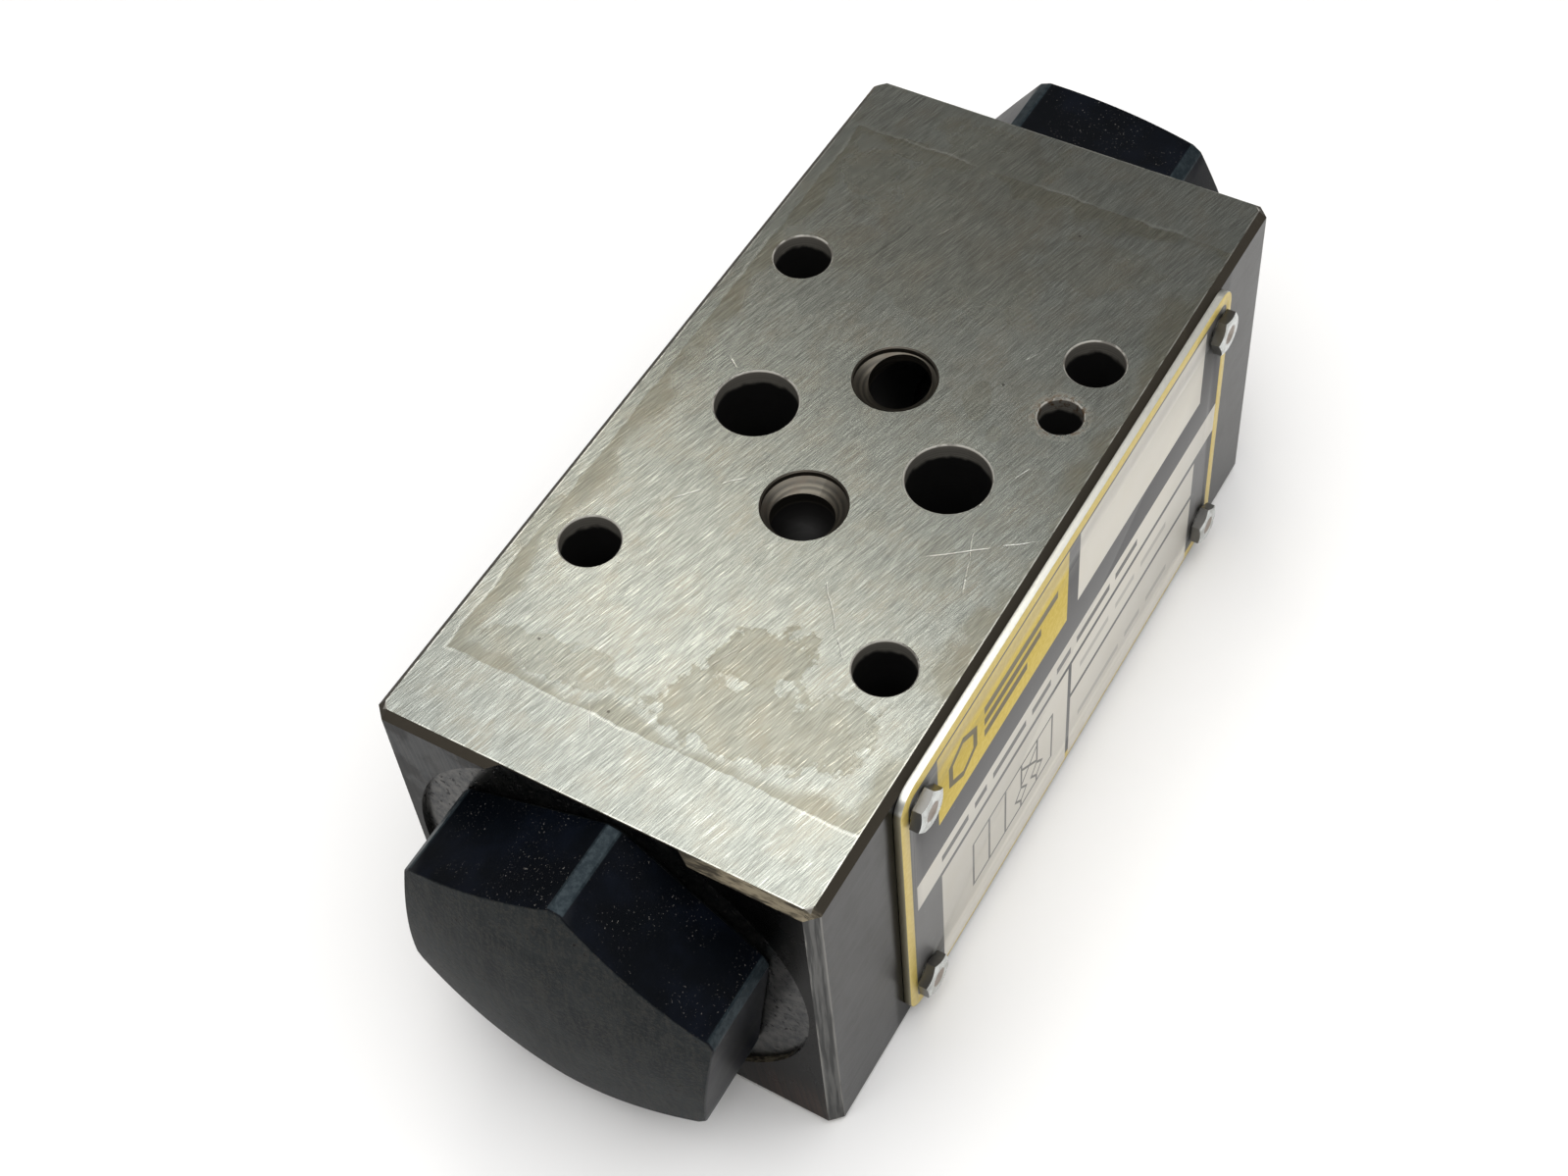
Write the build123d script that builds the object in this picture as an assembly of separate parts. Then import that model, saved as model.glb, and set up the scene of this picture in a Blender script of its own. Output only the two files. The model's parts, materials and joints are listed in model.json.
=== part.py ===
from build123d import *
import math
import os

os.makedirs("parts", exist_ok=True)

# Double pilot-operated check valve, sandwich (stacking) type, size 03 / NG6, in millimetres.
# The origin is the centre of the port pattern on the seal face, which is the lower face.
# +Z points at the ported face, X runs along the main bore with end A at -X and end B at +X,
# and the nameplate is on the -Y side. Ports P and T pass straight through. In lines A and B a
# spring-loaded poppet lets oil go from the seal face to the ported face only, and a pilot
# piston between the two poppets pushes one open while the other line is under pressure.

# ---- body block
body_length = 92.6
body_width = 45.2
body_height = 40.0
edge_chamfer = 0.75
corner_chamfer = 1.15

# ---- standard interface: hole places on both faces, measured from the pattern's centre
port_p = (0.0, -10.4)
port_t = (0.0, 10.4)
port_a_x = -8.8
port_b_x = 8.7
bolt_a_x = -21.5
bolt_a_y = 15.5
bolt_b_x = 19.0
bolt_b_y = 16.25
locating_hole = (11.5, -16.25)

port_diameter = 8.2
bolt_hole_diameter = 5.9
locating_hole_diameter = 4.4
locating_hole_depth = 5.0
edge_break = 0.15
overcut = 1.0

# ---- drillings of lines A and B
drill_point_angle = 118.0
drill_tip_radius = 0.01
outlet_port_depth = 0.7
outlet_drill_diameter = 6.2
outlet_turn_depth = 3.0
outlet_from_seat = 4.9
outlet_drill_offset = {"a": 0.5, "b": 0.9}
inlet_port_depth = 3.0
inlet_drill_diameter = 4.2
inlet_drill_inset = 1.7

# ---- counterbores and rings of the seal face
seal_counterbore_diameter = 12.7
seal_counterbore_depth = 1.3
seal_section = 1.6
ring_rounding = 0.3

# ---- main bore
bore_depth_below_ported_face = 18.75
pilot_bore_diameter = 9.5
pilot_chamber_end = 9.5
seat_bore_diameter = 15.0
thread_diameter = 27.0
thread_depth = 18.6
spot_face_depth = 0.68
ring_seat_margin = 2.2
ring_seat_depth = 2.9

# ---- end plugs
hex_across_flats = 31.75
hex_corner_trim = 0.66
hex_head_height = 9.57
spot_face_clearance = 5.5
crown_radius = 63.4
plug_turn_a = 8.9
plug_turn_b = -22.9
plug_reach = 15.6
plug_neck_step = 3.2
thread_pitch = 2.117
thread_clearance = 0.2
thread_groove_depth = 1.1
spring_pocket_depth = 7.0

# ---- check seats, cages and poppets
seat_length = 4.2
seat_hole_diameter = 5.4
seat_cone_depth = 1.0
seat_groove_depth = 1.35
seat_groove_wall = 0.7
seat_ring_width = 1.7
seat_backup_width = 1.0
seat_wall_clearance = 0.02
cage_bore_diameter = 10.0
cage_waist_wall = 1.2
cage_collar = 1.2
cage_waist_end = 9.0
window_diameter = 4.4
window_count = 4
window_setback = 0.3
poppet_lift = 2.2
poppet_gap = 0.05
poppet_nose_radius = 1.6
poppet_neck_step = 0.8
poppet_skirt_start = 2.0
poppet_pocket_diameter = 7.2
poppet_pocket_floor = 5.0
bleed_diameter = 1.4
running_clearance = 0.02

# ---- springs
spring_wire = 0.7
spring_side_gap = 0.4
spring_coils = 7
spring_end_gap = 0.05

# ---- pilot piston
piston_land_length = 7.2
piston_stem_diameter = 3.2
piston_free_travel = 1.0
piston_groove_width = 0.5
piston_groove_depth = 0.3
piston_groove_count = 3

# ---- nameplate and its screws
plate_length = 68.5
plate_height = 38.2
plate_thickness = 0.8
plate_corner_radius = 2.6
plate_centre_x = 1.0
plate_top_gap = 0.4
screw_edge_x = 3.15
screw_edge_z = 4.0
screw_head_across_flats = 4.0
screw_head_height = 1.2
screw_collar_diameter = 3.4
screw_collar_height = 0.2
screw_bevel_height = 0.25
screw_dimple_diameter = 2.1
screw_dimple_depth = 0.35
screw_shank_diameter = 2.2
screw_shank_length = 4.6
screw_hole_clearance = 0.1
screw_hole_spare = 1.0
screw_turns = {"a_top": 14.0, "a_bottom": 38.0, "b_top": 52.0, "b_bottom": 27.0}

# ---- sizes and places worked out from the sizes above
hex_corner_diameter = hex_across_flats * 2 / math.sqrt(3) - hex_corner_trim
spot_face_diameter = hex_corner_diameter + spot_face_clearance
ring_seat_diameter = thread_diameter + ring_seat_margin
plug_neck_diameter = thread_diameter - plug_neck_step
cage_waist_diameter = cage_bore_diameter + 2 * cage_waist_wall
poppet_neck_radius = cage_bore_diameter / 2 - poppet_neck_step
spring_outer_diameter = poppet_pocket_diameter - 2 * spring_side_gap
screw_pitch_x = plate_length - 2 * screw_edge_x
screw_pitch_z = plate_height - 2 * screw_edge_z
bore_z = body_height - bore_depth_below_ported_face
spot_floor = body_length / 2 - spot_face_depth
thread_end = spot_floor - thread_depth
plug_nose = spot_floor - plug_reach
seat_end = pilot_chamber_end + seat_length
seat_cone_start = seat_end - seat_cone_depth
cone_setback = poppet_gap * math.sqrt(2)
poppet_front = seat_cone_start - (seat_hole_diameter / 2 - poppet_nose_radius) + cone_setback
poppet_shoulder = poppet_front + (poppet_neck_radius - poppet_nose_radius)
poppet_tail = plug_nose - poppet_lift
spring_floor_inner = seat_end + poppet_pocket_floor
spring_floor_outer = plug_nose + spring_pocket_depth
plate_face_y = -body_width / 2
plate_centre_z = body_height - plate_top_gap - plate_height / 2
sides = {"a": -1, "b": 1}
port_x = {"a": port_a_x, "b": port_b_x}


def turned(outline, side):
    """Solid of revolution about the main bore from (distance from centre, radius) points."""
    section = make_face(Polyline(*outline, close=True))
    solid = Pos(0, 0, bore_z) * revolve(section, Axis.X, 360)
    return mirror(solid, about=Plane.YZ) if side < 0 else solid


def squeezed_ring(width, inner_radius, outer_radius):
    """Ring as it sits squeezed in its groove, standing on z = 0 with its axis along Z.

    Its corners are rounded by a share of the thinner side of its section."""
    middle = (inner_radius + outer_radius) / 2
    depth = outer_radius - inner_radius
    section = RectangleRounded(depth, width, ring_rounding * min(width, depth))
    return revolve(Plane.XZ * Pos(middle, width / 2) * section, Axis.Z, 360)


def bore_ring(start, width, inner_radius, outer_radius, side):
    """Squeezed ring about the main bore whose inner face is at the given distance from the centre."""
    ring = squeezed_ring(width, inner_radius, outer_radius)
    return Pos(side * start, 0, bore_z) * Rot(0, 90 * side, 0) * ring


def hole_down(x, y, diameter, depth, top_z, bevel=edge_break):
    """Cutter for a hole from a face at top_z downwards, with its mouth's edge broken."""
    shaft = Pos(x, y, top_z - depth / 2) * Cylinder(diameter / 2, depth)
    mouth = Pos(x, y, top_z - bevel / 2) * Cone(diameter / 2, diameter / 2 + bevel, bevel)
    return shaft + mouth


def seal_counterbore(x, y):
    """Cutter for the counterbore of one port seal in the seal face."""
    radius = seal_counterbore_diameter / 2
    return Pos(x, y, seal_counterbore_depth / 2) * Cylinder(radius, seal_counterbore_depth)


def body_bore(side):
    """Cutter for one half of the stepped main bore."""
    steps = [
        (pilot_chamber_end, pilot_bore_diameter),
        (thread_end, seat_bore_diameter),
        (spot_floor - ring_seat_depth, thread_diameter),
        (spot_floor, ring_seat_diameter),
        (body_length / 2 + overcut, spot_face_diameter),
    ]
    outline = [(0, 0)]
    start = 0
    for end, diameter in steps:
        outline += [(start, diameter / 2), (end, diameter / 2)]
        start = end
    outline.append((start, 0))
    return turned(outline, side)


def outlet_drilling(name):
    """Cutter from the ported face into the space behind the poppet: it turns away from the centre."""
    side, x = sides[name], port_x[name]
    radius = port_diameter / 2
    drill_radius = outlet_drill_diameter / 2
    point_depth = radius / math.tan(math.radians(drill_point_angle / 2))
    port_end = body_height - outlet_port_depth
    port = hole_down(x, 0, port_diameter, outlet_port_depth, body_height)
    point = Pos(x, 0, port_end - point_depth / 2) * Cone(drill_tip_radius, radius, point_depth)

    turn = Pos(x + side * outlet_drill_offset[name], 0, body_height - outlet_turn_depth)
    stub_length = outlet_turn_depth - outlet_port_depth
    stub = turn * Pos(0, 0, stub_length / 2) * Cylinder(drill_radius, stub_length)
    drop = body_height - outlet_turn_depth - bore_z
    sideways = seat_end + outlet_from_seat - abs(x) - outlet_drill_offset[name]
    tilt = math.atan2(sideways, drop - seat_bore_diameter / 2)
    tilted_length = drop / math.cos(tilt)
    tilted = Pos(0, 0, -tilted_length / 2) * Cylinder(drill_radius, tilted_length)
    tilted = Sphere(drill_radius) + Rot(0, -side * math.degrees(tilt), 0) * tilted
    return port + point + stub + turn * tilted


def inlet_drilling(name):
    """Cutter from the seal face into the space between the pilot piston and the seat."""
    x = port_x[name]
    counterbore = seal_counterbore(x, 0)
    port_end = seal_counterbore_depth + inlet_port_depth
    port = Pos(x, 0, port_end / 2) * Cylinder(port_diameter / 2, port_end)
    drill_x = x - sides[name] * inlet_drill_inset
    drill = Pos(drill_x, 0, bore_z / 2) * Cylinder(inlet_drill_diameter / 2, bore_z)
    return counterbore + port + drill


def make_body():
    block = Box(body_length, body_width, body_height)
    block = chamfer(block.edges().filter_by(Axis.Z), corner_chamfer)
    ends = block.edges().group_by(Axis.Z)
    block = Pos(0, 0, body_height / 2) * chamfer(ends[0] + ends[-1], edge_chamfer)
    for name, side in sides.items():
        block -= body_bore(side)
        block -= outlet_drilling(name)
        block -= inlet_drilling(name)
    for x, y in (port_p, port_t):
        block -= hole_down(x, y, port_diameter, body_height, body_height)
        block -= seal_counterbore(x, y)
    for x, reach in ((bolt_a_x, bolt_a_y), (bolt_b_x, bolt_b_y)):
        for y in (-reach, reach):
            block -= hole_down(x, y, bolt_hole_diameter, body_height, body_height)
            mouth = Cone(bolt_hole_diameter / 2 + edge_break, bolt_hole_diameter / 2, edge_break)
            block -= Pos(x, y, edge_break / 2) * mouth
    block -= hole_down(*locating_hole, locating_hole_diameter, locating_hole_depth, body_height)
    hole_depth = screw_shank_length + screw_hole_spare
    for x, z in screw_places().values():
        screw_hole = Cylinder(screw_shank_diameter / 2 + screw_hole_clearance, hole_depth)
        block -= Pos(x, plate_face_y + hole_depth / 2, z) * Rot(90, 0, 0) * screw_hole
    return block


def make_end_plug(side, turn):
    """Hexagon plug: crowned head with turned corners, neck for the ring, and a grooved thread."""
    head_end = spot_floor + hex_head_height
    crown_rise = crown_radius - math.sqrt(crown_radius**2 - (hex_corner_diameter / 2) ** 2)
    blank_end = head_end + crown_rise
    blank_length = blank_end - spot_floor
    hexagon = RegularPolygon(hex_across_flats / 2, 6, major_radius=False)
    bar = Pos(0, 0, blank_length / 2) * Cylinder(hex_corner_diameter / 2, blank_length)
    crown = Pos(0, 0, blank_length - crown_radius) * Sphere(crown_radius)
    head = extrude(hexagon, blank_length) & bar & crown
    # the hexagon stands on the XY plane with a corner towards +X: turn that corner up, then by its turn
    head = Pos(spot_floor, 0, 0) * Rot(0, 90, 0) * Rot(0, 0, 180 + turn) * head

    crest = thread_diameter / 2 - thread_clearance
    neck_inner = spot_floor - ring_seat_depth
    neck = plug_neck_diameter / 2
    pocket_radius = poppet_pocket_diameter / 2
    outline = [(spot_floor + overcut, 0), (spot_floor + overcut, neck), (neck_inner, neck)]
    outline.append((neck_inner, crest))
    first_groove = neck_inner - thread_pitch / 2
    groove_count = int((first_groove - plug_nose - thread_groove_depth) / thread_pitch)
    for index in range(groove_count):
        near = first_groove - thread_pitch * index
        outline += [(near, crest), (near - thread_pitch / 2, crest - thread_groove_depth)]
    outline.append((first_groove - thread_pitch * groove_count, crest))
    outline += [(plug_nose + thread_groove_depth, crest), (plug_nose, crest - thread_groove_depth)]
    outline += [(plug_nose, pocket_radius), (spring_floor_outer, pocket_radius), (spring_floor_outer, 0)]
    shank = revolve(make_face(Polyline(*outline, close=True)), Axis.X, 360)
    plug = Pos(0, 0, bore_z) * (head + shank)
    return mirror(plug, about=Plane.YZ) if side < 0 else plug


def make_seat(side):
    """Hardened ring with the conical seat, a groove for its rings, and a free hole for the stem."""
    outer = seat_bore_diameter / 2 - seat_wall_clearance
    hole = seat_hole_diameter / 2
    groove_start = pilot_chamber_end + seat_groove_wall
    groove_end = seat_end - seat_groove_wall
    return turned(
        [
            (pilot_chamber_end, hole),
            (seat_cone_start, hole),
            (seat_end, hole + seat_cone_depth),
            (seat_end, outer),
            (groove_end, outer),
            (groove_end, outer - seat_groove_depth),
            (groove_start, outer - seat_groove_depth),
            (groove_start, outer),
            (pilot_chamber_end, outer),
        ],
        side,
    )


def make_cage(side):
    """Tube that guides the poppet and clamps the seat, with a waist and windows for the oil."""
    outer = seat_bore_diameter / 2 - seat_wall_clearance
    waist = cage_waist_diameter / 2
    bore = cage_bore_diameter / 2
    waist_start = seat_end + cage_collar
    waist_end = seat_end + cage_waist_end
    outline = [(seat_end, bore), (plug_nose, bore), (plug_nose, outer), (waist_end, outer)]
    outline += [(waist_end, waist), (waist_start, waist), (waist_start, outer), (seat_end, outer)]
    cage = turned(outline, side)
    window_x = side * (waist_start + window_diameter / 2 + window_setback)
    for index in range(window_count):
        window = Rot(45 + 360 / window_count * index, 0, 0) * Pos(0, 0, cage_waist_diameter / 2)
        cage -= Pos(window_x, 0, bore_z) * window * Cylinder(window_diameter / 2, seat_bore_diameter / 2)
    return cage


def make_poppet(side):
    """Hollow poppet with a 45 degree nose, shown closed on its seat."""
    skirt = cage_bore_diameter / 2 - running_clearance
    pocket = poppet_pocket_diameter / 2
    skirt_start = poppet_shoulder + poppet_skirt_start
    poppet = turned(
        [
            (poppet_front, 0),
            (poppet_front, poppet_nose_radius),
            (poppet_shoulder, poppet_neck_radius),
            (skirt_start, poppet_neck_radius),
            (skirt_start + skirt - poppet_neck_radius, skirt),
            (poppet_tail, skirt),
            (poppet_tail, pocket),
            (spring_floor_inner, pocket),
            (spring_floor_inner, 0),
        ],
        side,
    )
    bleed_x = side * (spring_floor_inner + bleed_diameter)
    return poppet - Pos(bleed_x, 0, bore_z) * Cylinder(bleed_diameter / 2, cage_bore_diameter)


def make_spring(side):
    """Closing spring between the poppet's pocket and the plug's pocket."""
    radius = (spring_outer_diameter - spring_wire) / 2
    room = spring_floor_outer - spring_floor_inner
    height = room - spring_wire - 2 * spring_end_gap
    path = Helix(height / spring_coils, height, radius)
    section = Plane(origin=path @ 0, z_dir=path % 0) * Circle(spring_wire / 2)
    wire = sweep(section, path=path, is_frenet=True)
    start = spring_floor_inner + spring_end_gap + spring_wire / 2
    return Pos(side * start, 0, bore_z) * Rot(0, 90 * side, 0) * wire


def make_pilot_piston():
    """Free piston: a grooved land in the pilot bore and a stem towards each poppet."""
    land = pilot_bore_diameter / 2 - running_clearance
    stem = piston_stem_diameter / 2
    half = piston_land_length / 2
    groove_floor = land - piston_groove_depth
    tip = poppet_front - piston_free_travel
    outline = [(-tip, 0), (-tip, stem), (-half, stem), (-half, land)]
    spacing = piston_land_length / (piston_groove_count + 1)
    for index in range(piston_groove_count):
        start = -half + spacing * (index + 1) - piston_groove_width / 2
        end = start + piston_groove_width
        outline += [(start, land), (start, groove_floor), (end, groove_floor), (end, land)]
    outline += [(half, land), (half, stem), (tip, stem), (tip, 0)]
    return turned(outline, 1)


def screw_places():
    """Screw centres (x, z) on the nameplate, by name."""
    places = {}
    for column, column_side in (("a", -1), ("b", 1)):
        for row, row_side in (("top", 1), ("bottom", -1)):
            x = plate_centre_x + column_side * screw_pitch_x / 2
            z = plate_centre_z + row_side * screw_pitch_z / 2
            places[f"{column}_{row}"] = (x, z)
    return places


def make_nameplate():
    outline = RectangleRounded(plate_length, plate_height, plate_corner_radius)
    plate = extrude(outline, plate_thickness)
    for x, z in screw_places().values():
        hole = Cylinder(screw_shank_diameter / 2 + screw_hole_clearance, 3 * plate_thickness)
        plate -= Pos(x - plate_centre_x, z - plate_centre_z, 0) * hole
    return Pos(plate_centre_x, plate_face_y, plate_centre_z) * Rot(90, 0, 0) * plate


def make_nameplate_screw(x, z, turn):
    """Indented hexagon screw with a thin collar: its head on the nameplate, its shank in the body."""
    hexagon = RegularPolygon(screw_head_across_flats / 2, 6, major_radius=False)
    corner = screw_head_across_flats / math.sqrt(3)
    straight = screw_head_height - screw_bevel_height
    bar = Pos(0, 0, straight / 2) * Cylinder(corner, straight)
    bevel = Cone(corner, corner - 2 * screw_bevel_height, screw_bevel_height)
    bar += Pos(0, 0, straight + screw_bevel_height / 2) * bevel
    dimple = screw_dimple_diameter / 2
    dimple_cut = Cone(dimple - screw_dimple_depth, dimple, screw_dimple_depth)
    head = extrude(hexagon, screw_head_height) & bar
    head -= Pos(0, 0, screw_head_height - screw_dimple_depth / 2) * dimple_cut
    screw = Pos(0, 0, screw_collar_height) * Rot(0, 0, turn) * head
    collar = Cylinder(screw_collar_diameter / 2, screw_collar_height)
    screw += Pos(0, 0, screw_collar_height / 2) * collar
    shank_length = screw_shank_length + plate_thickness
    screw += Pos(0, 0, -shank_length / 2) * Cylinder(screw_shank_diameter / 2, shank_length)
    return Pos(x, plate_face_y - plate_thickness, z) * Rot(90, 0, 0) * screw


def make_port_seal(x, y):
    outer = seal_counterbore_diameter / 2 - running_clearance
    return Pos(x, y, 0) * squeezed_ring(seal_counterbore_depth, outer - seal_section, outer)


nodes = {"body": make_body(), "pilot_piston": make_pilot_piston(), "nameplate": make_nameplate()}
for name, side in sides.items():
    nodes[f"end_plug_{name}"] = make_end_plug(side, plug_turn_a if side < 0 else plug_turn_b)
    nodes[f"plug_ring_{name}"] = bore_ring(
        spot_floor - ring_seat_depth,
        ring_seat_depth,
        plug_neck_diameter / 2 + running_clearance,
        ring_seat_diameter / 2 - running_clearance,
        side,
    )
    groove_start = pilot_chamber_end + seat_groove_wall
    groove_inner = seat_bore_diameter / 2 - seat_wall_clearance - seat_groove_depth + running_clearance
    groove_outer = seat_bore_diameter / 2 - running_clearance
    nodes[f"seat_ring_{name}"] = bore_ring(groove_start, seat_ring_width, groove_inner, groove_outer, side)
    nodes[f"seat_backup_ring_{name}"] = bore_ring(
        groove_start + seat_ring_width, seat_backup_width, groove_inner, groove_outer, side
    )
    nodes[f"check_seat_{name}"] = make_seat(side)
    nodes[f"check_cage_{name}"] = make_cage(side)
    nodes[f"check_poppet_{name}"] = make_poppet(side)
    nodes[f"check_spring_{name}"] = make_spring(side)
for place, (x, z) in screw_places().items():
    nodes[f"nameplate_screw_{place}"] = make_nameplate_screw(x, z, screw_turns[place])
for port, (x, y) in {"p": port_p, "t": port_t, "a": (port_a_x, 0), "b": (port_b_x, 0)}.items():
    nodes[f"port_seal_{port}"] = make_port_seal(x, y)

for node, solid in nodes.items():
    export_step(solid, f"parts/{node}.step")
print(len(nodes), "nodes written")
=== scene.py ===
import json
import math
from functools import reduce
import bmesh
import bpy
from mathutils import Matrix, Vector


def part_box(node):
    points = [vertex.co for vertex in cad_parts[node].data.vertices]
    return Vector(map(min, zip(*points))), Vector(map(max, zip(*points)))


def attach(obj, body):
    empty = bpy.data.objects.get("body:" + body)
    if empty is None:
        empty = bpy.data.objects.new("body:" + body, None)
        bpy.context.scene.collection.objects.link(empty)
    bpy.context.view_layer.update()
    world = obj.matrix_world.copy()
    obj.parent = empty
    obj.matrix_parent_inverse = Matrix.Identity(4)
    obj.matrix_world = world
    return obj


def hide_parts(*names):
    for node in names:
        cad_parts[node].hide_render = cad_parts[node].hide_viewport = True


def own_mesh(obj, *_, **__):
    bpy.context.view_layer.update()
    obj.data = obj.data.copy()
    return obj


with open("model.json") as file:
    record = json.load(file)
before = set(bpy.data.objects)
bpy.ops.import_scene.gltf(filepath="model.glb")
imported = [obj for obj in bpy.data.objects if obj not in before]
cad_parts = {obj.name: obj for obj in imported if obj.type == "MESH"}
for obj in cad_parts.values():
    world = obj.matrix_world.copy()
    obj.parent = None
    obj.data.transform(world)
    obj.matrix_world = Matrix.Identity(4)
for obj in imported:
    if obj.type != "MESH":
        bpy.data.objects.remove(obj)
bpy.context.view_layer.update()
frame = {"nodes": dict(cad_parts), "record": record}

mm = 0.001
scene = bpy.context.scene
cadNodes = frame["nodes"]
mounts = {mount["name"]: mount for mount in frame["record"]["mounts"]}
joints = {joint["name"]: joint for joint in frame["record"]["behaviour"]["joints"]}


def boxOf(node):
    # lowest and highest corner of a CAD node, in millimetres
    return [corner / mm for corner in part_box(node)]


def mountPlace(name):
    return [value / mm for value in mounts[name]["pos_m"]]


bodyLow, bodyHigh = boxOf("body")
plateLow, plateHigh = boxOf("nameplate")
seatLow, seatHigh = boxOf("check_seat_b")
boreHeight = (seatLow.z + seatHigh.z) / 2
print("frame loaded: body", [round(v, 2) for v in bodyHigh - bodyLow], "mm")


# how a finish is written down

class Wire:
    # an output socket that arithmetic can be done with; lengths on wires are in millimetres
    def __init__(self, tree, socket):
        self.tree = tree
        self.socket = socket

    def maths(self, operation, *values):
        return self.tree.add("Math", {"operation": operation}, dict(enumerate(values)))

    def __add__(self, other):
        return self.maths("ADD", self, other)

    def __radd__(self, other):
        return self.maths("ADD", other, self)

    def __sub__(self, other):
        return self.maths("SUBTRACT", self, other)

    def __rsub__(self, other):
        return self.maths("SUBTRACT", other, self)

    def __mul__(self, other):
        return self.maths("MULTIPLY", self, other)

    def __rmul__(self, other):
        return self.maths("MULTIPLY", other, self)

    def __abs__(self):
        return self.maths("ABSOLUTE", self)

    def atLeast(self, other):
        return self.maths("MAXIMUM", self, other)

    def atMost(self, other):
        return self.maths("MINIMUM", self, other)

    def fade(self, start, end):
        # 0 at start and 1 at end, softly; start may be the larger one
        settings = {"interpolation_type": "SMOOTHSTEP"}
        return self.tree.add("MapRange", settings, {0: self, 1: start, 2: end, 3: 0.0, 4: 1.0})

    def near(self, value, reach):
        # 1 at the value, 0 at that reach from it
        return abs(self - value).fade(reach, 0.0)

    def split(self):
        first = self.tree.add("SeparateXYZ", {}, {0: self})
        return [Wire(self.tree, socket) for socket in first.socket.node.outputs]


def union(masks):
    # 1 wherever one of the masks is
    return reduce(Wire.atLeast, masks)


class NodeTree:
    # the nodes of a material or a world that is being made
    def __init__(self, owner):
        owner.use_nodes = True
        owner.node_tree.nodes.clear()
        self.owner = owner

    def add(self, kind, settings, inputs, output=0):
        # any node, from its type, its settings and its sockets' values or wires
        tree = self.owner.node_tree
        node = tree.nodes.new("ShaderNode" + kind)
        for name, value in settings.items():
            setattr(node, name, value)
        for name, value in inputs.items():
            if isinstance(value, Wire):
                tree.links.new(value.socket, node.inputs[name])
            else:
                node.inputs[name].default_value = value
        return Wire(self, node.outputs[output]) if len(node.outputs) else node


class Finish(NodeTree):
    # a material, with its coordinates in millimetres and short ways to the usual nodes
    def __init__(self, name):
        super().__init__(bpy.data.materials.new(name))
        metres = self.add("TexCoord", {}, {}, "Object")
        self.place = self.add("VectorMath", {"operation": "SCALE"}, {0: metres, "Scale": 1 / mm})
        self.x, self.y, self.z = self.place.split()
        self.facingX, self.facingY, self.facingZ = self.add("TexCoord", {}, {}, "Normal").split()

    def blend(self, mask, below, above):
        settings = {"data_type": "RGBA", "blend_type": "MIX"}
        return self.add("Mix", settings, {0: mask, 6: below, 7: above}, 2)

    def tint(self, mask, colour, tone):
        # the colour multiplied by a tone where the mask is 1, so that its pattern stays
        settings = {"data_type": "RGBA", "blend_type": "MULTIPLY"}
        return self.add("Mix", settings, {0: mask, 6: colour, 7: tone}, 2)

    def noise(self, place, size, detail=2.0, roughness=0.5):
        inputs = {"Vector": place, "Scale": 1 / size, "Detail": detail, "Roughness": roughness}
        return self.add("TexNoise", {}, inputs)

    def strokes(self, length, width, turn, plane="z"):
        # coordinates in which a stroke of that length and width, turned in its plane, is one unit
        size = {"z": (length, width, 1), "y": (length, 1, width), "x": (1, length, width)}[plane]
        spin = {"z": (0, 0, turn), "y": (0, -turn, 0), "x": (turn, 0, 0)}[plane]
        inputs = {"Vector": self.place, "Scale": size}
        inputs["Rotation"] = tuple(math.radians(angle) for angle in spin)
        return self.add("Mapping", {"vector_type": "TEXTURE"}, inputs)

    def length(self, vector):
        return self.add("VectorMath", {"operation": "LENGTH"}, {0: vector}, "Value")

    def radius(self, first, second):
        # distance from an axis, from the two coordinates across it
        squares = first * first + second * second
        return self.add("Math", {"operation": "SQRT"}, {0: squares})

    def specks(self, size, share, radius):
        # scattered dots: one in each cell of that size, kept in that share of the cells
        inputs = {"Vector": self.place, "Scale": 1 / size}
        dots = self.add("TexVoronoi", {}, inputs, "Distance")
        chance = Wire(self, dots.socket.node.outputs["Color"]).split()[0]
        return dots.fade(radius, radius * 0.6) * chance.fade(share, share - 0.02)

    def surface(self, layer, **constants):
        inputs = {
            "Base Color": layer["colour"],
            "Roughness": layer["roughness"],
            "Metallic": layer["metallic"],
        }
        if isinstance(layer["height"], Wire):
            bump = {"Height": layer["height"], "Distance": mm, "Strength": 1.0}
            inputs["Normal"] = self.add("Bump", {}, bump)
        inputs.update(constants)
        shader = self.add("BsdfPrincipled", {}, inputs)
        self.add("OutputMaterial", {}, {"Surface": shader})
        return self.owner


def tone(red, green, blue):
    return (red, green, blue, 1.0)


def layer(colour, roughness, metallic, height=0.0):
    return {"colour": colour, "roughness": roughness, "metallic": metallic, "height": height}


def cover(finish, under, over, mask):
    # the upper layer takes over where the mask is 1
    mixed = {"colour": finish.blend(mask, under["colour"], over["colour"])}
    for part in ("roughness", "metallic", "height"):
        low, high = under[part], over[part]
        plain = not isinstance(low, Wire) and not isinstance(high, Wire)
        mixed[part] = low if plain and low == high else low + (high - low) * mask
    return mixed


# the block

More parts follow.
